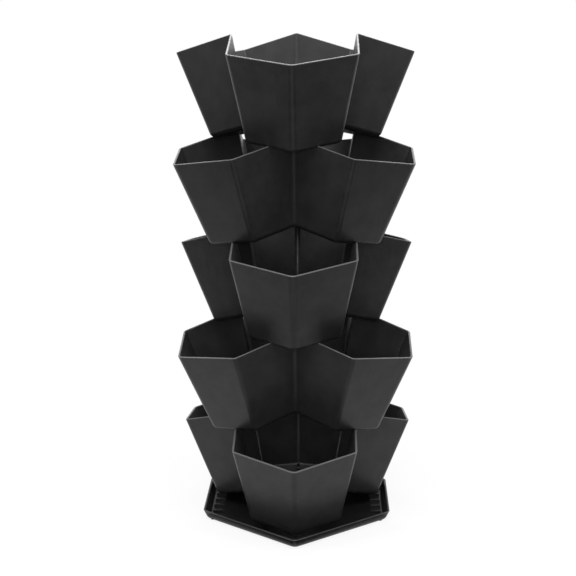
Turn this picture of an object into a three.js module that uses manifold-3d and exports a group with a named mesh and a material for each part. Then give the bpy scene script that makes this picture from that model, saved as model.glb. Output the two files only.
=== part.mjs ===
// Vertical planter tower: five equal three-cup tiers stacked on a six-sided saucer.
// Millimetres, +Z up. The origin is the centre of the saucer's underside, and one cup of
// the lowest tier points along -Y.
import * as THREE from 'three';
import { mergeVertices } from 'three/addons/utils/BufferGeometryUtils.js';
import Module from 'manifold-3d';

const wasm = await Module();
wasm.setup();

// The stack
const TIER_COUNT = 5;
const CUP_COUNT = 3;
const LAP = 17.4;              // how far a tier's fold tops stand above the noses of the next
const SEAT_GAP = 0.3;          // left between pieces that seat on each other

// Wall and floor of the moulded tier
const WALL = 2.5;
const FOOT_HALF_WIDTH = 58.2;  // half the width of a cup at its foot
const FOOT_REACH = 124;        // from the tower's axis to a cup's nose, at its foot
const RIM_HEIGHT = 119.5;      // of the rim over the foot, the same all round
const SIDE_DRAFT = 10;         // degrees that the side walls lean out
const FRONT_DRAFT = 20;        // degrees that the two front walls lean out
const NOSE_ANGLE = 28.5;       // degrees that each front wall is turned back from the nose
const CUP_SLOPE = 15;          // degrees that rim, floor and foot fall towards each nose
const NOSE_RADIUS = 8;         // inside a cup's nose
const SHOULDER_RADIUS = 4.5;   // inside the corners at the ends of its front walls
const FOLD_RADIUS = 7;         // outside the inward folds between cups
const FOOT_RADIUS = 4;         // inside the edge between wall and floor

// Drain slots, one on each ridge of the floor
const DRAIN_START = 36;        // inner end, from the tower's axis
const DRAIN_LENGTH = 25;
const DRAIN_WIDTH = 3;
const DRAIN_LIP = 1.5;         // thickness of the low collar round a slot
const DRAIN_LIP_HEIGHT = 2;

// Saucer
const TRAY_WALL = 2.5;
const TRAY_HEIGHT = 13.7;
const TRAY_FLARE = 24;         // degrees that its wall leans out
const NOSE_MARGIN = 24;        // from a cup's nose to the saucer's front corner, at floor level
const SIDE_MARGIN = 9.9;       // from the feet of the side cups to the saucer's straight sides
const TRAY_NOSE_ANGLE = 37.8;  // degrees that its front and back sides are turned back
const TRAY_CORNER_RADIUS = 7;
const TRAY_FOOT_RADIUS = 2;
const RIB_HEIGHT = 4.3;        // the ribs hold the tower clear of the drained water
const RIB_WIDTH = 2.4;
const RIB_LENGTH = 14;
const RIB_PITCH = 20;
const RIB_MARGIN = 5;          // from the saucer's straight sides to their ribs
const RIB_SETBACK = 3;         // from a cup's nose to the ribs under it
const SIDE_RIBS = 7;
const END_RIBS = 1;

// How finely the round stretches are cut
const ARC_STEPS = 4;
const EDGE_STEPS = 3;
const OVERRUN = 5;             // how far a cutting body passes the face that it cuts

const rad = THREE.MathUtils.degToRad;
const sector = Math.PI / CUP_COUNT;
const slope = Math.tan(rad(CUP_SLOPE));
const cupAxes = Array.from({ length: CUP_COUNT }, (_, cup) => 2 * sector * cup - Math.PI / 2);

// Solids and booleans
function toSolid(geometry) {
  const bare = geometry.clone();
  bare.deleteAttribute('normal');
  bare.deleteAttribute('uv');
  const merged = mergeVertices(bare);
  return new wasm.Manifold(new wasm.Mesh({
    numProp: 3,
    vertProperties: new Float32Array(merged.attributes.position.array),
    triVerts: new Uint32Array(merged.index.array),
  }));
}

function toGeometry(solid) {
  const { vertProperties, triVerts } = solid.getMesh();
  const geometry = new THREE.BufferGeometry();
  geometry.setAttribute('position', new THREE.BufferAttribute(vertProperties, 3));
  geometry.setIndex(new THREE.BufferAttribute(triVerts, 1));
  geometry.computeVertexNormals();
  return geometry;
}

// A closed body through a stack of outlines that all have the same number of points. Its ends
// are fans round the middle, and lift raises every point by an amount that its place gives.
function loft(rings, lift) {
  const count = rings[0].outline.length;
  const positions = rings.flatMap(({ outline, height }) => (
    outline.flatMap(({ x, y }) => [x, y, height + lift(x, y)])
  ));
  const top = (rings.length - 1) * count;
  const middle = rings.length * count;
  positions.push(0, 0, rings[0].height + lift(0, 0), 0, 0, rings.at(-1).height + lift(0, 0));
  const faces = [];
  for (let i = 0; i < count; i += 1) {
    const next = (i + 1) % count;
    for (let below = 0; below < top; below += count) {
      const above = below + count;
      faces.push(below + i, below + next, above + next, below + i, above + next, above + i);
    }
    faces.push(middle, next, i, middle + 1, top + i, top + next);
  }
  const geometry = new THREE.BufferGeometry();
  geometry.setAttribute('position', new THREE.Float32BufferAttribute(positions, 3));
  geometry.setIndex(faces);
  return toSolid(geometry);
}

function prism(outline, bottom, top) {
  const geometry = new THREE.ExtrudeGeometry(new THREE.Shape(outline), {
    depth: top - bottom,
    bevelEnabled: false,
  });
  return toSolid(geometry.translate(0, 0, bottom));
}

// Replaces each corner of an outline by an arc that touches both of its sides.
function roundCorners(corners) {
  return corners.flatMap(({ point, radius }, i) => {
    const before = corners.at(i - 1).point.clone().sub(point).normalize();
    const after = corners[(i + 1) % corners.length].point.clone().sub(point).normalize();
    const half = Math.acos(before.dot(after)) / 2;
    const centre = before.clone().add(after).setLength(radius / Math.sin(half)).add(point);
    const start = before.clone().multiplyScalar(radius / Math.tan(half)).add(point).sub(centre);
    const turn = -Math.sign(before.cross(after));
    const arc = Math.PI - 2 * half;
    return Array.from({ length: ARC_STEPS + 1 }, (_, step) => (
      start.clone().rotateAround(new THREE.Vector2(), turn * arc * step / ARC_STEPS).add(centre)
    ));
  });
}

// Height above the foot and a distance in from the outer face give a cup's section: half its
// width, and the reach of the nose where its two front walls meet.
function cupSection(height, inset) {
  const side = height * Math.tan(rad(SIDE_DRAFT)) - inset / Math.cos(rad(SIDE_DRAFT));
  const front = height * Math.tan(rad(FRONT_DRAFT)) - inset / Math.cos(rad(FRONT_DRAFT));
  return {
    halfWidth: FOOT_HALF_WIDTH + side,
    reach: FOOT_REACH + front / Math.cos(rad(NOSE_ANGLE)),
  };
}

// The three kinds of corner, as distances along the cup's middle line and across it.
const cornerKinds = {
  fold: ({ halfWidth }) => [halfWidth / Math.tan(sector), halfWidth],
  shoulder: ({ halfWidth, reach }) => [reach - halfWidth * Math.tan(rad(NOSE_ANGLE)), halfWidth],
  nose: ({ reach }) => [reach, 0],
};

// The plan of all the cups at one height above the foot, its corners rounded.
function cupOutline(height, inset) {
  const bend = {
    fold: Math.max(FOLD_RADIUS, FOLD_RADIUS + inset),
    shoulder: Math.max(SHOULDER_RADIUS, SHOULDER_RADIUS + WALL - inset),
    nose: Math.max(NOSE_RADIUS, NOSE_RADIUS + WALL - inset),
  };
  const section = cupSection(height, inset);
  const halfRound = [['shoulder', -1], ['nose', 0], ['shoulder', 1], ['fold', 1]];
  const corners = cupAxes.flatMap((axis) => halfRound.map(([kind, side]) => {
    const [along, across] = cornerKinds[kind](section);
    const point = new THREE.Vector2(along, side * across).rotateAround(new THREE.Vector2(), axis);
    return { point, radius: bend[kind] };
  }));
  return roundCorners(corners);
}

// The foot isn't level: it falls towards each nose, and floor and rim run parallel to it. This
// is how high it lies over the noses at a place of the plan.
function footHeight(x, y) {
  const along = Math.max(...cupAxes.map((axis) => x * Math.cos(axis) + y * Math.sin(axis)));
  return slope * (FOOT_REACH - along);
}

// The rings of a drafted body with a rounded edge round its underside.
function footedRings(outlineAt, { bottom, top, inset, radius }) {
  const edge = Array.from({ length: EDGE_STEPS + 1 }, (_, step) => {
    const angle = Math.PI / 2 * step / EDGE_STEPS;
    const height = bottom + radius * (1 - Math.cos(angle));
    return { height, outline: outlineAt(height, inset + radius * (1 - Math.sin(angle))) };
  });
  return [...edge, { height: top, outline: outlineAt(top, inset) }];
}

// A pyramid with one face over each cup, parallel to the foot.
function slopedPyramid(apex) {
  const height = apex + OVERRUN;
  const radius = height / slope / Math.cos(sector);
  const geometry = new THREE.ConeGeometry(radius, height, CUP_COUNT).rotateX(Math.PI / 2);
  return toSolid(geometry.rotateZ(sector).translate(0, 0, apex - height / 2));
}

const raised = (thickness) => thickness / Math.cos(rad(CUP_SLOPE));
const footApex = footHeight(0, 0);
const [foldAlong] = cornerKinds.fold(cupSection(RIM_HEIGHT, 0));
const TIER_PITCH = RIM_HEIGHT + slope * (FOOT_REACH - foldAlong) - LAP;

// The saddle. Each cup sits across a fold of the tier below, and the top of that fold stands
// up inside the cup's foot. This is the space that the rim below sweeps as the tier is lowered
// onto it, grown all round: by the seat gap for the groove, and by one wall more for its roof.
function rimSpace(grow) {
  const bottom = TIER_PITCH - OVERRUN;
  const rimTop = RIM_HEIGHT + raised(grow);
  const hollow = loft([bottom - footApex - OVERRUN, rimTop + OVERRUN].map((height) => (
    { height, outline: cupOutline(height, WALL + grow) }
  )), footHeight);
  const band = prism(cupOutline(RIM_HEIGHT, -grow), bottom, rimTop + footApex)
    .intersect(slopedPyramid(rimTop + footApex))
    .subtract(hollow);
  return toSolid(toGeometry(band).rotateZ(sector).translate(0, 0, -TIER_PITCH));
}

// Drain slots lie on the ridges of the floor and stop just short of the folds.
function drainSpace(grow, top) {
  const half = DRAIN_WIDTH / 2;
  const path = new THREE.Path();
  path.absarc(DRAIN_START + half, 0, half + grow, Math.PI / 2, 3 * Math.PI / 2);
  path.absarc(DRAIN_START + DRAIN_LENGTH - half, 0, half + grow, -Math.PI / 2, Math.PI / 2);
  const outline = path.getPoints(ARC_STEPS);
  const slots = Array.from({ length: CUP_COUNT }, (_, fold) => {
    const angle = 2 * sector * fold + sector - Math.PI / 2;
    const turned = outline.map((point) => point.clone().rotateAround(new THREE.Vector2(), angle));
    return prism(turned, -OVERRUN, top);
  });
  return slots.reduce((all, slot) => all.add(slot));
}

// One tier, its noses at height zero before their lower edge is rounded.
const tierRings = footedRings(cupOutline, {
  bottom: 0, top: RIM_HEIGHT, inset: 0, radius: FOOT_RADIUS + WALL,
});

function tierSolid() {
  const cavity = loft(footedRings(cupOutline, {
    bottom: raised(WALL), top: RIM_HEIGHT + OVERRUN, inset: WALL, radius: FOOT_RADIUS,
  }), footHeight);
  const above = footApex + RIM_HEIGHT;
  const collars = drainSpace(DRAIN_LIP, above)
    .intersect(slopedPyramid(footApex + raised(WALL + DRAIN_LIP_HEIGHT)));
  return loft(tierRings, footHeight)
    .subtract(cavity.subtract(rimSpace(SEAT_GAP + WALL)).subtract(collars))
    .subtract(rimSpace(SEAT_GAP))
    .subtract(drainSpace(0, above));
}

// The saucer is a long hexagon: corners in front and behind, and straight sides beside the feet.
const footSpan = Math.max(...cupOutline(0, 0).map(({ x }) => x));
const trayHalfWidth = footSpan + SIDE_MARGIN;
const trayHalfLength = FOOT_REACH + NOSE_MARGIN;

function trayCorners(outward) {
  const sideEnd = trayHalfLength - trayHalfWidth * Math.tan(rad(TRAY_NOSE_ANGLE));
  const corners = [-1, 1].flatMap((end) => [
    new THREE.Vector2(0, end * trayHalfLength),
    new THREE.Vector2(-end * trayHalfWidth, end * sideEnd),
    new THREE.Vector2(-end * trayHalfWidth, -end * sideEnd),
  ]);
  return corners.map((point, i) => {
    const before = corners.at(i - 1).clone().sub(point).normalize();
    const after = corners[(i + 1) % corners.length].clone().sub(point).normalize();
    const half = Math.acos(before.dot(after)) / 2;
    return before.add(after).setLength(-outward / Math.sin(half)).add(point);
  });
}

function trayOutline(height, inset) {
  const outward = height * Math.tan(rad(TRAY_FLARE)) - inset / Math.cos(rad(TRAY_FLARE));
  const radius = Math.max(TRAY_CORNER_RADIUS, TRAY_CORNER_RADIUS + TRAY_WALL - inset);
  return roundCorners(trayCorners(outward).map((point) => ({ point, radius })));
}

// Four rows of short ribs carry the noses: one along each straight side, and one under the
// front cup's nose with its like behind.
function trayRibs() {
  const sunk = TRAY_WALL / 2;
  const rows = [
    { count: SIDE_RIBS, start: trayHalfWidth - RIB_MARGIN },
    { count: END_RIBS, start: FOOT_REACH - RIB_SETBACK },
  ];
  return [0, 1, 2, 3].flatMap((quarter) => {
    const { count, start } = rows[quarter % 2];
    return Array.from({ length: count }, (_, i) => {
      const geometry = new THREE.BoxGeometry(RIB_LENGTH, RIB_WIDTH, RIB_HEIGHT + sunk);
      geometry.translate(
        start - RIB_LENGTH / 2,
        (i - (count - 1) / 2) * RIB_PITCH,
        TRAY_WALL + (RIB_HEIGHT - sunk) / 2,
      );
      return toSolid(geometry.rotateZ(quarter * Math.PI / 2));
    });
  });
}

function traySolid() {
  const level = () => 0;
  const shell = loft(footedRings(trayOutline, {
    bottom: 0, top: TRAY_HEIGHT, inset: 0, radius: TRAY_FOOT_RADIUS + TRAY_WALL,
  }), level);
  const hollow = loft(footedRings(trayOutline, {
    bottom: TRAY_WALL, top: TRAY_HEIGHT + OVERRUN, inset: TRAY_WALL, radius: TRAY_FOOT_RADIUS,
  }), level);
  return trayRibs().reduce((tray, rib) => tray.add(rib), shell.subtract(hollow));
}

// Black polypropylene, moulded with a fine satin grain
const mouldedBlack = () => new THREE.MeshStandardMaterial({
  color: 0x2c2c2d, roughness: 0.55, metalness: 0,
});

const group = new THREE.Group();

const tray = new THREE.Mesh(toGeometry(traySolid()), mouldedBlack());
tray.name = 'tray';
group.add(tray);

// The lowest points of a tier are on the rounded edge under its noses.
const lowest = Math.min(...tierRings.flatMap(({ outline, height }) => (
  outline.map(({ x, y }) => height + footHeight(x, y))
)));
const tierGeometry = toGeometry(tierSolid());
for (let level = 0; level < TIER_COUNT; level += 1) {
  const tier = new THREE.Mesh(tierGeometry.clone(), mouldedBlack());
  tier.name = `tier_${level + 1}`;
  tier.position.z = TRAY_WALL + RIB_HEIGHT + SEAT_GAP - lowest + level * TIER_PITCH;
  tier.rotation.z = level % 2 * sector;
  group.add(tier);
}

export default group;
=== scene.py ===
import math

import bmesh
import bpy
from mathutils import Matrix, Vector


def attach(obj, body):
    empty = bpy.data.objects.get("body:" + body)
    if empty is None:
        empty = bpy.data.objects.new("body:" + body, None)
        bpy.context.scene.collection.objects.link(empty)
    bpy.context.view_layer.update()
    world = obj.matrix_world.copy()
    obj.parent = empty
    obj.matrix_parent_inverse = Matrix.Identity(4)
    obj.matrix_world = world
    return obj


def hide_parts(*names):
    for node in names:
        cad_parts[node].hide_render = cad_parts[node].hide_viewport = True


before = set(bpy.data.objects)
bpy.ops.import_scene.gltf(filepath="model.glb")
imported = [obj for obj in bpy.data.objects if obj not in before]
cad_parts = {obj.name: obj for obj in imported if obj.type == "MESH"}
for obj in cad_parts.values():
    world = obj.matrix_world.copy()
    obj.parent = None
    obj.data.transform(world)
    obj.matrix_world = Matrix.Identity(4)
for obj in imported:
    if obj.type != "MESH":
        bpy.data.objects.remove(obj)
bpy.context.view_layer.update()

# Camera
# It stands a good metre and a half in front of the tower, a little above its top, and looks
# slightly down. Its place and lens were fitted to the rim and foot corners in the photo.
CAMERA_LENS = 74.66            # millimetres
CAMERA_PLACE = (-0.01107, -1.555, 0.6492)          # metres, as all sizes before the saucer's
CAMERA_ROUND = 0.0321          # radians round the tower, then down, then about the line of sight
CAMERA_DOWN = 0.21725
CAMERA_ROLL = -0.00653
camera_data = bpy.data.cameras.new("camera")
camera_data.lens = CAMERA_LENS
camera_data.clip_end = 50
camera = bpy.data.objects.new("camera", camera_data)
camera.matrix_world = (
    Matrix.Rotation(CAMERA_ROUND, 4, "Z")
    @ Matrix.Translation(CAMERA_PLACE)
    @ Matrix.Rotation(math.pi / 2 - CAMERA_DOWN, 4, "X")
    @ Matrix.Rotation(CAMERA_ROLL, 4, "Z")
)
bpy.context.scene.collection.objects.link(camera)
bpy.context.scene.camera = camera
bpy.context.scene.view_settings.view_transform = "Standard"


# Studio floor
# A sheet of white paper that the tower stands on. It takes the soft shadow of the saucer. The
# camera and the reflections see it nearly plain white, and quite so away from the tower.
FLOOR_REACH = 9                # from the tower's middle to the sheet's edges
SHADOW_REACH = 0.3             # from there too, as the next
WHITE_REACH = 0.9
GLOW_AT_TOWER = 0.88           # share of plain white within the shadow's reach


def linear(hex_colour):
    """An sRGB colour as the linear one that a shader takes."""
    channels = [int(hex_colour[i:i + 2], 16) / 255 for i in (1, 3, 5)]
    return [c / 12.92 if c <= 0.04045 else ((c + 0.055) / 1.055) ** 2.4 for c in channels] + [1]


def add_node(tree, kind, settings=None, **links):
    """Adds a node. Settings name its own fields or its input sockets. Links name the inputs that
    outputs of other nodes feed, and an underscore with a number is an input's place in the list."""
    node = tree.nodes.new(kind)
    for name, value in (settings or {}).items():
        if hasattr(node, name):
            setattr(node, name, value)
        else:
            node.inputs[name].default_value = value
    for name, source in links.items():
        socket = int(name[1:]) if name[0] == "_" else name.replace("_", " ")
        tree.links.new(source, node.inputs[socket])
    return node


def new_material(name):
    material = bpy.data.materials.new(name)
    material.use_nodes = True
    material.node_tree.nodes.clear()
    return material, material.node_tree


def seen_share(tree):
    """1 for the rays that show the background: the camera's, mirrored ones and those through
    something clear. 0 for the rest."""
    path = add_node(tree, "ShaderNodeLightPath").outputs
    direct = add_node(
        tree, "ShaderNodeMath", {"operation": "MAXIMUM"},
        _0=path["Is Camera Ray"], _1=path["Is Glossy Ray"],
    )
    seen = add_node(
        tree, "ShaderNodeMath", {"operation": "MAXIMUM"},
        _0=direct.outputs[0], _1=path["Is Transmission Ray"],
    )
    return seen.outputs[0]


white_sheet, tree = new_material("white_paper_sheet")
paper = add_node(tree, "ShaderNodeBsdfDiffuse", {"Color": linear("#ececec")})
glow = add_node(tree, "ShaderNodeEmission", {"Color": linear("#ffffff"), "Strength": 1})
place = add_node(tree, "ShaderNodeTexCoord").outputs["Object"]
distance = add_node(tree, "ShaderNodeVectorMath", {"operation": "LENGTH"}, _0=place)
whiteness = add_node(
    tree, "ShaderNodeMapRange",
    {"From Min": SHADOW_REACH, "From Max": WHITE_REACH, "To Min": GLOW_AT_TOWER, "To Max": 1},
    Value=distance.outputs["Value"],
)
share = add_node(
    tree, "ShaderNodeMath", {"operation": "MULTIPLY"},
    _0=whiteness.outputs[0], _1=seen_share(tree),
)
sheet = add_node(
    tree, "ShaderNodeMixShader",
    _0=share.outputs[0], _1=paper.outputs[0], _2=glow.outputs[0],
)
add_node(tree, "ShaderNodeOutputMaterial", Surface=sheet.outputs[0])

floor_mesh = bpy.data.meshes.new("studio_floor")
floor_corners = [(x * FLOOR_REACH, y * FLOOR_REACH, 0) for x, y in ((-1, -1), (1, -1), (1, 1), (-1, 1))]
floor_mesh.from_pydata(floor_corners, [], [(0, 1, 2, 3)])
floor_mesh.materials.append(white_sheet)
studio_floor = bpy.data.objects.new("studio_floor", floor_mesh)
bpy.context.scene.collection.objects.link(studio_floor)


# Studio light
# White walls all round, that give the tower only a little light. A broad soft box hangs over it
# and a little in front, one high behind it draws the bright lines along the rims, and smaller
# ones stand at the sides and behind the camera.
WALL_LIGHT = 0.1
SIDE_BOX_DISTANCE = 1.6

world = bpy.data.worlds.new("studio")
bpy.context.scene.world = world
world.use_nodes = True
tree = world.node_tree
tree.nodes.clear()
level = add_node(
    tree, "ShaderNodeMapRange", {"To Min": WALL_LIGHT, "To Max": 1}, Value=seen_share(tree))
walls = add_node(
    tree, "ShaderNodeBackground", {"Color": linear("#ffffff")}, Strength=level.outputs[0])
add_node(tree, "ShaderNodeOutputWorld", Surface=walls.outputs[0])


def soft_box(name, place, aim_height, width, height, power):
    """A lamp behind a white cloth, aimed at a point in the middle of the tower. Power is in watts."""
    lamp = bpy.data.lights.new(name, "AREA")
    lamp.shape = "RECTANGLE"
    lamp.size = width
    lamp.size_y = height
    lamp.energy = power
    box = bpy.data.objects.new(name, lamp)
    box.location = place
    aim = Vector((0, 0, aim_height)) - Vector(place)
    box.rotation_euler = aim.to_track_quat("-Z", "Y").to_euler()
    box.visible_camera = False
    bpy.context.scene.collection.objects.link(box)


soft_box("top_soft_box", (0, -0.95, 2.35), aim_height=0.35, width=1.8, height=1.2, power=58)
soft_box("back_soft_box", (0, 1.2, 1.72), aim_height=0.5, width=1.9, height=0.8, power=24)
soft_box("camera_soft_box", (0, -2.2, 0.9), aim_height=0.5, width=0.9, height=0.5, power=9)
for side_name, side in (("left", -1), ("right", 1)):
    soft_box(
        f"{side_name}_soft_box", (side * SIDE_BOX_DISTANCE, -0.2, 1.8),
        aim_height=0.4, width=0.6, height=0.9, power=11,
    )


# Floor cards
# Cards of felt that lie on the floor in front of the tower, out of the camera's sight, and darken
# what its leaning walls mirror. The middle one is pale, because the noses mirror that and would
# turn darker than the walls beside them. The cards throw no shadow.
CARD_LIFT = 0.001              # over the floor
CARD_NEAR = -0.22              # y of the edges next to the tower
CARD_FAR = -1.6                # y of the edges furthest from it
CARD_SIDE = 1.6                # x of the outer edges
MIDDLE_CARD_HALF = 0.19        # half of its width
DARK_FELT = "#1a1a1a"
PALE_FELT = "#b8b8b8"


def floor_card(name, colour, patches):
    """A card of one colour, made of patches with four corners each."""
    felt, tree = new_material(name + "_felt")
    matt = add_node(tree, "ShaderNodeBsdfDiffuse", {"Color": linear(colour)})
    add_node(tree, "ShaderNodeOutputMaterial", Surface=matt.outputs[0])
    card_mesh = bpy.data.meshes.new(name)
    corners = [(x, y, CARD_LIFT) for patch in patches for x, y in patch]
    card_mesh.from_pydata(corners, [], [range(i, i + 4) for i in range(0, len(corners), 4)])
    card_mesh.materials.append(felt)
    card = bpy.data.objects.new(name, card_mesh)
    card.visible_camera = False
    card.visible_shadow = False
    bpy.context.scene.collection.objects.link(card)


def card_patch(start, end):
    return [(start, CARD_NEAR), (end, CARD_NEAR), (end, CARD_FAR), (start, CARD_FAR)]


for side_name, side in (("left", -1), ("right", 1)):
    # A strip that follows the front of the saucer, under its flared wall.
    saucer_strip = [(0, -0.1525), (0.1225 * side, -0.06), (0.15 * side, -0.08), (0, -0.175)]
    outer_patch = card_patch(MIDDLE_CARD_HALF * side, CARD_SIDE * side)
    floor_card(f"{side_name}_floor_card", DARK_FELT, [saucer_strip, outer_patch])
floor_card("middle_floor_card", PALE_FELT, [card_patch(-MIDDLE_CARD_HALF, MIDDLE_CARD_HALF)])


# Saucer
# A long six-sided drip saucer, moulded in black polypropylene, with a flared wall and a shallow
# groove round it. Short ribs on its floor hold the lowest tier out of the drained water. Sizes
# are in millimetres, as on a mould drawing, and the mesh is scaled to metres at the end.
SAUCER_WALL = 2.5
SAUCER_HEIGHT = 13.7
SAUCER_LEAN = math.tan(math.radians(24))
SAUCER_THICKER = 1 / math.cos(math.radians(24))    # a leaning wall's level section over its thickness
SAUCER_HALF_WIDTH = 118.91     # of the foot
SAUCER_HALF_LENGTH = 148       # from its middle to where a nose's sides would meet
SAUCER_NOSE_TURN = math.radians(37.8)              # between a nose's sides and straight across
SAUCER_CORNER_RADIUS = 7       # inside the wall
SAUCER_FOOT_RADIUS = 2         # inside the edge between wall and floor
GROOVE_LOW = 6.4
GROOVE_HIGH = 7.6
GROOVE_DEPTH = 0.5
RIB_HEIGHT = 4.3
RIB_WIDTH = 2.4
RIB_LENGTH = 14
RIB_PITCH = 20
RIB_DRAFT = 0.35
RIB_ROUNDING = 0.5
SIDE_RIBS = 7
SIDE_RIBS_REACH = SAUCER_HALF_WIDTH - 5            # from the middle to the ribs' outer ends
END_RIBS = 1
END_RIBS_REACH = 121
EDGE_RADIUS = 1                # on the open edges of saucer and tiers
EDGE_STEPS = 4
ARC_STEPS = 8
FOOT_STEPS = 6
TOUCHING = 1e-4                # corners that lie closer are one
CREASE = math.radians(24)      # edges that bend more stay sharp


def turned(point, angle):
    return Matrix.Rotation(angle, 2) @ point


def round_corners(corners):
    """An outline whose corners, each a point and a radius, are arcs that touch both sides."""
    points = []
    for i, (point, radius) in enumerate(corners):
        before = (corners[i - 1][0] - point).normalized()
        after = (corners[(i + 1) % len(corners)][0] - point).normalized()
        half = math.acos(before.dot(after)) / 2
        centre = point + (before + after).normalized() * (radius / math.sin(half))
        start = point + before * (radius / math.tan(half)) - centre
        turn = -math.copysign(math.pi - 2 * half, before.x * after.y - before.y * after.x)
        points += [centre + turned(start, turn * k / ARC_STEPS) for k in range(ARC_STEPS + 1)]
    return points


def saucer_outline(height, inset):
    """The saucer's plan at one height, inset from the outside of its wall."""
    side_end = SAUCER_HALF_LENGTH - SAUCER_HALF_WIDTH * math.tan(SAUCER_NOSE_TURN)
    outward = height * SAUCER_LEAN - inset * SAUCER_THICKER
    points = []
    for end in (-1, 1):
        points.append(Vector((0, end * SAUCER_HALF_LENGTH)))
        points.append(Vector((-end * SAUCER_HALF_WIDTH, end * side_end)))
        points.append(Vector((-end * SAUCER_HALF_WIDTH, -end * side_end)))
    corners = []
    radius = max(SAUCER_CORNER_RADIUS, SAUCER_CORNER_RADIUS + SAUCER_WALL - inset)
    for i, point in enumerate(points):
        before = (points[i - 1] - point).normalized()
        after = (points[(i + 1) % len(points)] - point).normalized()
        half = math.acos(before.dot(after)) / 2
        corners.append((point - (before + after).normalized() * (outward / math.sin(half)), radius))
    return round_corners(corners)


def level_lift(point):
    """The saucer stands level, so no place of its plan lies higher than another."""
    return 0


def add_loop(shape, outline, height, lift):
    return [shape.verts.new((*point, height + lift(point))) for point in outline]


def add_ring_faces(shape, lower, upper):
    for i in range(len(lower)):
        after = (i + 1) % len(lower)
        shape.faces.new([lower[i], lower[after], upper[after], upper[i]])


def add_closed_ring(shape, loops):
    for lower, upper in zip(loops, loops[1:] + loops[:1]):
        add_ring_faces(shape, lower, upper)


def footed_wall(shape, outline_at, lift, bottom, radius, inset, top):
    """Adds a leaning wall that rises from a rounded edge round its foot, and gives its lowest and
    its top loop. Lift says how much higher each place of the plan lies."""
    loops = []
    for step in range(FOOT_STEPS + 1):
        angle = math.pi / 2 * step / FOOT_STEPS
        height = bottom + radius * (1 - math.cos(angle))
        outline = outline_at(height, inset + radius * (1 - math.sin(angle)))
        loops.append(add_loop(shape, outline, height, lift))
    loops.append(add_loop(shape, outline_at(top, inset), top, lift))
    for lower, upper in zip(loops, loops[1:]):
        add_ring_faces(shape, lower, upper)
    return loops[0], loops[-1]


def round_open_edges(shape, loops, radius):
    edges = [shape.edges.get((a, b)) for loop in loops for a, b in zip(loop, loop[1:] + loop[:1])]
    bmesh.ops.recalc_face_normals(shape, faces=shape.faces)
    bmesh.ops.bevel(
        shape, geom=edges, offset=radius, offset_type="OFFSET", segments=EDGE_STEPS,
        profile=0.5, affect="EDGES", clamp_overlap=False,
    )


def close_mesh(name, shape):
    """Joins corners that touch, turns all faces outwards and hands over a mesh."""
    bmesh.ops.remove_doubles(shape, verts=shape.verts, dist=TOUCHING)
    bmesh.ops.recalc_face_normals(shape, faces=shape.faces)
    if shape.calc_volume(signed=True) < 0:
        bmesh.ops.reverse_faces(shape, faces=shape.faces)
    mesh = bpy.data.meshes.new(name)
    shape.to_mesh(mesh)
    shape.free()
    return mesh


def combine(operation, body_mesh, tool_mesh):
    """The mesh that is left when a tool is joined to a body, cut from it or kept in common."""
    body = bpy.data.objects.new("moulding", body_mesh)
    tool = bpy.data.objects.new("tool", tool_mesh)
    for item in (body, tool):
        bpy.context.scene.collection.objects.link(item)
    step = body.modifiers.new("step", "BOOLEAN")
    step.operation = operation
    step.solver = "EXACT"
    step.object = tool
    bpy.context.view_layer.update()
    made = body.evaluated_get(bpy.context.evaluated_depsgraph_get())
    result = bpy.data.meshes.new_from_object(made)
    for item in (body, tool):
        bpy.data.objects.remove(item)
    return result


def saucer_shell():
    """Floor and wall: an outer skin and an inner one, joined along the top."""
    shape = bmesh.new()
    tops = []
    for inset, bottom, radius in (
        (0, 0, SAUCER_FOOT_RADIUS + SAUCER_WALL),
        (SAUCER_WALL, SAUCER_WALL, SAUCER_FOOT_RADIUS),
    ):
        foot, top = footed_wall(shape, saucer_outline, level_lift, bottom, radius, inset, SAUCER_HEIGHT)
        shape.faces.new(foot)
        tops.append(top)
    add_ring_faces(shape, *tops)
    round_open_edges(shape, tops, EDGE_RADIUS)
    return close_mesh("saucer_shell", shape)


def saucer_groove():
    """The cutter for a shallow groove with slanting sides, half way up the outside of the wall."""
    outside = -1
    middle = (GROOVE_LOW + GROOVE_HIGH) / 2
    profile = (
        (GROOVE_LOW, outside), (GROOVE_LOW, 0), (middle, GROOVE_DEPTH),
        (GROOVE_HIGH, 0), (GROOVE_HIGH, outside),
    )
    shape = bmesh.new()
    add_closed_ring(shape, [
        add_loop(shape, saucer_outline(height, inset), height, level_lift)
        for height, inset in profile
    ])
    return close_mesh("saucer_groove", shape)


def saucer_ribs():
    """Ribs with leaning sides and rounded tops: a row along each straight side, one under the
    front cup's nose and its like behind."""
    shape = bmesh.new()
    rows = ((SIDE_RIBS, SIDE_RIBS_REACH), (END_RIBS, END_RIBS_REACH))
    upper_loops = []
    for quarter in range(4):
        count, reach = rows[quarter % 2]
        for i in range(count):
            across = (i - (count - 1) / 2) * RIB_PITCH
            loops = []
            for height, taper in ((SAUCER_WALL / 2, 0), (SAUCER_WALL + RIB_HEIGHT, RIB_DRAFT)):
                near, far = reach - RIB_LENGTH + taper, reach - taper
                left, right = across - RIB_WIDTH / 2 + taper, across + RIB_WIDTH / 2 - taper
                corners = [(near, left), (far, left), (far, right), (near, right)]
                places = [turned(Vector(corner), quarter * math.pi / 2) for corner in corners]
                loops.append(add_loop(shape, places, height, level_lift))
            add_ring_faces(shape, *loops)
            for loop in loops:
                shape.faces.new(loop)
            upper_loops.append(loops[1])
    round_open_edges(shape, upper_loops, RIB_ROUNDING)
    return close_mesh("saucer_ribs", shape)


def mark_rim(mesh, lowest, lift):
    """Marks the faces at the open edge, which get a painted highlight colour and a smoother finish."""
    rim = mesh.attributes.new("rim", "FLOAT", "FACE")
    for face, mark in zip(mesh.polygons, rim.data):
        mark.value = face.center.z - lift(face.center.xy) > lowest


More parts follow.
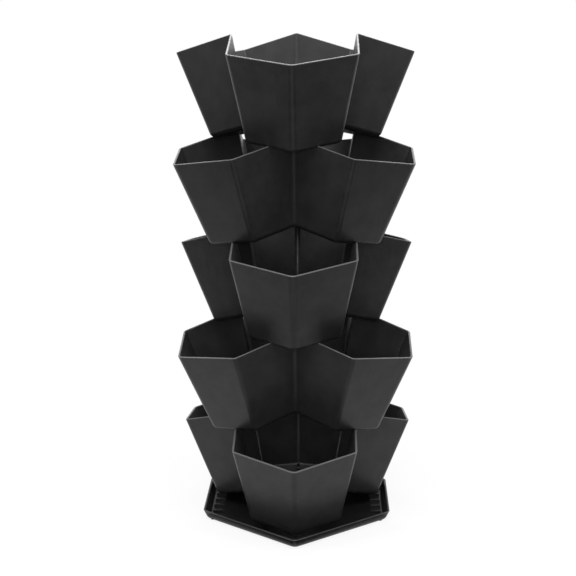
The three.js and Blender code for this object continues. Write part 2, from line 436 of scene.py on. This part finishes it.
CLOUD_WIDTH = 26               # millimetres, as the next widths: a shade where the melt flowed
SHEEN_WIDTH = 5                # of patches that shine a little more or less
DRAW_WIDTH = 7                 # of marks that the mould draws up the walls as it opens
DRAW_STRETCH = 20              # how much longer than wide they are
GRAIN_WIDTH = 1.6              # drawn coarser: the real 0.1 mm is too fine to show
DRAW_DEPTH = 0.00015           # metres, as the next depth
GRAIN_DEPTH = 0.00003
POLYPROPYLENE_IOR = 1.49
SHEEN_LEVEL = 0.3              # under the usual 0.5, because the grain swallows part of the sheen
DULL = 0.42                    # roughness of the dullest patches
RIM_ROUGHNESS = 0.34               # roughness of the rim faces, smoother than the walls


def moulded_polypropylene(name, dark, light, rim_highlight, bright):
    """Black polypropylene from a spark-eroded mould. It is near black with a satin sheen, cloudy
    where the melt flowed, with faint draw marks up the walls and a fine grain. Bright is the
    roughness of the patches that shine most. The lighter colour on the faces marked as rim is a
    painted highlight along the open edge. A Mix node's colours are its inputs 6 and 7, and its
    numbers 2 and 3."""
    material, tree = new_material(name)
    place = add_node(tree, "ShaderNodeTexCoord").outputs["Object"]
    mm = add_node(
        tree, "ShaderNodeVectorMath", {"operation": "SCALE", "Scale": 1000}, _0=place).outputs[0]
    upright = add_node(tree, "ShaderNodeVectorMath", {"operation": "MULTIPLY"}, _0=mm)
    upright.inputs[1].default_value = (1, 1, 1 / DRAW_STRETCH)
    clouds = add_node(
        tree, "ShaderNodeTexNoise",
        {"Scale": 1 / CLOUD_WIDTH, "Detail": 3, "Roughness": 0.6}, Vector=mm,
    )
    patches = add_node(
        tree, "ShaderNodeTexNoise",
        {"Scale": 1 / SHEEN_WIDTH, "Detail": 1, "Roughness": 0.6}, Vector=mm,
    )
    draws = add_node(
        tree, "ShaderNodeTexNoise", {"Scale": 1 / DRAW_WIDTH, "Detail": 2},
        Vector=upright.outputs[0],
    )
    grains = add_node(
        tree, "ShaderNodeTexNoise", {"Scale": 1 / GRAIN_WIDTH, "Detail": 0}, Vector=mm)

    cloud_share = add_node(
        tree, "ShaderNodeMapRange", {"From Min": 0.35, "From Max": 0.65},
        Value=clouds.outputs[0],
    )
    colour = add_node(tree, "ShaderNodeMix", {"data_type": "RGBA"}, _0=cloud_share.outputs[0])
    colour.inputs[6].default_value = linear(dark)
    colour.inputs[7].default_value = linear(light)
    sheen = add_node(
        tree, "ShaderNodeMapRange",
        {"From Min": 0.3, "From Max": 0.7, "To Min": bright, "To Max": DULL},
        Value=patches.outputs[0],
    )
    # The rim faces take a lighter colour, a painted highlight along the open edge, and a smoother
    # finish.
    rim = add_node(tree, "ShaderNodeAttribute", {"attribute_name": "rim"}).outputs["Fac"]
    rim_highlighted_colour = add_node(tree, "ShaderNodeMix", {"data_type": "RGBA"}, _0=rim, _6=colour.outputs[2])
    rim_highlighted_colour.inputs[7].default_value = linear(rim_highlight)
    edged_sheen = add_node(tree, "ShaderNodeMix", _0=rim, _2=sheen.outputs[0])
    edged_sheen.inputs[3].default_value = RIM_ROUGHNESS

    draw_relief = add_node(
        tree, "ShaderNodeBump", {"Strength": 0.6, "Distance": DRAW_DEPTH},
        Height=draws.outputs[0],
    )
    relief = add_node(
        tree, "ShaderNodeBump", {"Strength": 0.5, "Distance": GRAIN_DEPTH},
        Height=grains.outputs[0], Normal=draw_relief.outputs[0],
    )
    plastic = add_node(
        tree, "ShaderNodeBsdfPrincipled", {"IOR": POLYPROPYLENE_IOR, "Specular IOR Level": SHEEN_LEVEL},
        Base_Color=rim_highlighted_colour.outputs[2], Roughness=edged_sheen.outputs[0],
        Normal=relief.outputs[0],
    )
    add_node(tree, "ShaderNodeOutputMaterial", Surface=plastic.outputs[0])
    return material


def finish_piece(name, mesh, material, node, body):
    """Makes a piece of a mesh, with smooth curves and flat walls, and tells the frame about it."""
    mesh.materials.clear()
    mesh.materials.append(material)
    for face in mesh.polygons:
        face.use_smooth = True
    mesh.set_sharp_from_angle(angle=CREASE)
    piece = bpy.data.objects.new(name, mesh)
    bpy.context.scene.collection.objects.link(piece)
    evening = piece.modifiers.new("flat_walls", "WEIGHTED_NORMAL")
    evening.keep_sharp = True
    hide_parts(node)
    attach(piece, body)


saucer = combine("UNION", saucer_shell(), saucer_ribs())
saucer = combine("DIFFERENCE", saucer, saucer_groove())
mark_rim(saucer, SAUCER_HEIGHT - EDGE_RADIUS, level_lift)
TO_METRES = Matrix.Scale(0.001, 4)
saucer.transform(TO_METRES)
# Its lighter rim colour is a painted highlight along the open edge, dimmer than on the tiers.
saucer_plastic = moulded_polypropylene(
    "saucer_black_polypropylene", dark="#131314", light="#181819", rim_highlight="#3c3c3d", bright=0.34)
finish_piece("drip_saucer", saucer, saucer_plastic, "tray", "saucer")


# Tiers
# Each is one injection moulding in black polypropylene: three cups with leaning walls round a
# shared soil space. Foot, floor and rim all fall towards each cup's nose. The floor has a drain
# slot on each ridge, and a groove under each cup that sits over the folds of the tier below.
TIER_COUNT = 5
CUP_COUNT = 3
WALL = 2.5
FOOT_HALF_WIDTH = 58.2         # of a cup
FOOT_REACH = 124               # from the tower's middle to a nose
RIM_HEIGHT = 119.5             # over the sloping foot
SIDE_LEAN = math.tan(math.radians(10))
FRONT_LEAN = math.tan(math.radians(20))
SIDE_THICKER = 1 / math.cos(math.radians(10))      # as in the saucer
FRONT_THICKER = 1 / math.cos(math.radians(20))
NOSE_TURN = math.radians(28.5)                     # between a nose's walls and straight across
SLOPE = math.tan(math.radians(15))                 # of foot, floor and rim
RAISED = 1 / math.cos(math.radians(15))            # a sloping floor's upright section over its thickness
NOSE_RADIUS = 8                # inside, as shoulders and foot
SHOULDER_RADIUS = 4.5
FOOT_RADIUS = 4
FOLD_RADIUS = 7                # outside
LAP = 17.4                     # how far the fold tops stand above the noses of the next tier
SEAT_GAP = 0.3                 # all round between a rim and the groove over it
RIM_REACH_DOWN = 30            # of the rim that shapes the grooves, more than they are deep
INNER_TOP = 60                 # higher than the grooves' roofs
SLOT_START = 36                # from the tower's middle
SLOT_LENGTH = 25
SLOT_WIDTH = 3
SLOT_LIP_WIDTH = 1.5
SLOT_LIP_HEIGHT = 2
LOWEST_TIER = 4.976            # its noses' height over the ground, before their edge is rounded
SIXTH = math.pi / 3            # of a full turn, and half of the way from cup to cup
# The corners of a cup, in order, with the side of its middle line that each lies on.
CUP_CORNERS = (("shoulder", -1), ("nose", 0), ("shoulder", 1), ("fold", 1))


def cup_corner(kind, height, inset):
    """A corner of a cup's section, as distances along the cup's middle line and across it."""
    half_width = FOOT_HALF_WIDTH + height * SIDE_LEAN - inset * SIDE_THICKER
    reach = FOOT_REACH + (height * FRONT_LEAN - inset * FRONT_THICKER) / math.cos(NOSE_TURN)
    if kind == "fold":
        return half_width / math.tan(SIXTH), half_width
    if kind == "shoulder":
        return reach - half_width * math.tan(NOSE_TURN), half_width
    return reach, 0


def cups_outline(height, inset):
    """The plan of the three cups at one height over the sloping foot."""
    radius = {
        "fold": max(FOLD_RADIUS, FOLD_RADIUS + inset),
        "shoulder": max(SHOULDER_RADIUS, SHOULDER_RADIUS + WALL - inset),
        "nose": max(NOSE_RADIUS, NOSE_RADIUS + WALL - inset),
    }
    corners = []
    for cup in range(CUP_COUNT):
        for kind, side in CUP_CORNERS:
            along, across = cup_corner(kind, height, inset)
            place = turned(Vector((along, side * across)), 2 * SIXTH * cup - math.pi / 2)
            corners.append((place, radius[kind]))
    return round_corners(corners)


def foot_lift(point):
    """How high the foot lies over the noses at a place of the plan."""
    along = max(turned(point, math.pi / 2 - 2 * SIXTH * cup).x for cup in range(CUP_COUNT))
    return SLOPE * (FOOT_REACH - along)


def add_ridged_face(shape, loop, height):
    """Closes a loop of the tier with one flat face for each cup. They meet in three ridges, which
    run to the middles of the folds."""
    peak = shape.verts.new((0, 0, height + foot_lift(Vector((0, 0)))))
    per_cup = len(loop) // CUP_COUNT
    fold_middle = (len(CUP_CORNERS) - 1) * (ARC_STEPS + 1) + ARC_STEPS // 2
    for cup in range(CUP_COUNT):
        first = cup * per_cup + fold_middle
        shape.faces.new([peak] + [loop[(first + i) % len(loop)] for i in range(per_cup + 1)])


def tier_shell():
    """Foot and walls as an outer skin, floor and insides as an inner one, joined along the rim."""
    shape = bmesh.new()
    tops = []
    for inset, bottom, radius in ((0, 0, FOOT_RADIUS + WALL), (WALL, WALL * RAISED, FOOT_RADIUS)):
        foot, top = footed_wall(shape, cups_outline, foot_lift, bottom, radius, inset, RIM_HEIGHT)
        add_ridged_face(shape, foot, bottom)
        tops.append(top)
    add_ring_faces(shape, *tops)
    round_open_edges(shape, tops, EDGE_RADIUS)
    return close_mesh("tier_shell", shape)


fold_along, _ = cup_corner("fold", RIM_HEIGHT, 0)
TIER_PITCH = RIM_HEIGHT + SLOPE * (FOOT_REACH - fold_along) - LAP


def rim_ring(grow):
    """The rim of the tier below, grown all round, in the place where this tier meets it."""
    top = RIM_HEIGHT + grow * RAISED
    bottom = RIM_HEIGHT - RIM_REACH_DOWN
    outer = cups_outline(RIM_HEIGHT, -grow)
    shape = bmesh.new()
    add_closed_ring(shape, [
        add_loop(shape, outline, height, foot_lift)
        for outline, height in (
            (outer, bottom), (outer, top),
            (cups_outline(top, WALL + grow), top), (cups_outline(bottom, WALL + grow), bottom),
        )
    ])
    mesh = close_mesh("rim_ring", shape)
    mesh.transform(Matrix.Translation((0, 0, -TIER_PITCH)) @ Matrix.Rotation(SIXTH, 4, "Z"))
    return mesh


def inner_block():
    """The space inside the middle of the walls, which keeps the groove roofs off the outside."""
    shape = bmesh.new()
    foot, upper = footed_wall(
        shape, cups_outline, foot_lift, WALL / 2, FOOT_RADIUS + WALL / 2, WALL / 2, INNER_TOP)
    add_ridged_face(shape, foot, WALL / 2)
    add_ridged_face(shape, upper, INNER_TOP)
    return close_mesh("inner_block", shape)


def slot_outline(fold, grow):
    """A drain slot's outline, grown all round, on the ridge of the floor that runs to a fold."""
    angle = 2 * SIXTH * fold + SIXTH - math.pi / 2
    near_end = SLOT_START + SLOT_WIDTH / 2
    far_end = SLOT_START + SLOT_LENGTH - SLOT_WIDTH / 2
    reach = SLOT_WIDTH / 2 + grow
    points = []
    for centre, first in ((near_end, math.pi / 2), (far_end, -math.pi / 2)):
        for k in range(ARC_STEPS + 1):
            around = first + math.pi * k / ARC_STEPS
            point = Vector((centre + reach * math.cos(around), reach * math.sin(around)))
            points.append(turned(point, angle))
    return points


def drain_collars():
    """The lips round the slots. They start a little inside a slot's edge, so that it cuts them too."""
    overlap = 0.3
    bottom, top = WALL / 2, (WALL + SLOT_LIP_HEIGHT) * RAISED
    shape = bmesh.new()
    for fold in range(CUP_COUNT):
        outer, inner = slot_outline(fold, SLOT_LIP_WIDTH), slot_outline(fold, -overlap)
        add_closed_ring(shape, [
            add_loop(shape, outline, height, foot_lift)
            for outline, height in ((outer, bottom), (outer, top), (inner, top), (inner, bottom))
        ])
    return close_mesh("drain_collars", shape)


def drain_slots():
    """The cutters for the slots, from under the foot to well over the floor."""
    lowest, highest = -5, 60
    shape = bmesh.new()
    for fold in range(CUP_COUNT):
        outline = slot_outline(fold, 0)
        loops = [add_loop(shape, outline, height, level_lift) for height in (lowest, highest)]
        add_ring_faces(shape, *loops)
        for loop in loops:
            shape.faces.new(loop)
    return close_mesh("drain_slots", shape)


roofs = combine("INTERSECT", rim_ring(SEAT_GAP + WALL), inner_block())
tier_mesh = combine("UNION", tier_shell(), roofs)
tier_mesh = combine("DIFFERENCE", tier_mesh, rim_ring(SEAT_GAP))
tier_mesh = combine("UNION", tier_mesh, drain_collars())
tier_mesh = combine("DIFFERENCE", tier_mesh, drain_slots())
mark_rim(tier_mesh, RIM_HEIGHT - EDGE_RADIUS, foot_lift)

# Its lighter rim colour is a painted highlight along the open edges of the tiers.
tier_plastic = moulded_polypropylene(
    "tier_black_polypropylene", dark="#262627", light="#2e2e2f", rim_highlight="#5a5a5b", bright=0.31)
for number in range(1, TIER_COUNT + 1):
    mesh = tier_mesh.copy()
    height = LOWEST_TIER + (number - 1) * TIER_PITCH
    turn = SIXTH * ((number - 1) % 2)
    mesh.transform(TO_METRES @ Matrix.Translation((0, 0, height)) @ Matrix.Rotation(turn, 4, "Z"))
    tier = f"tier_{number}"
    finish_piece(f"moulded_tier_{number}", mesh, tier_plastic, tier, tier)
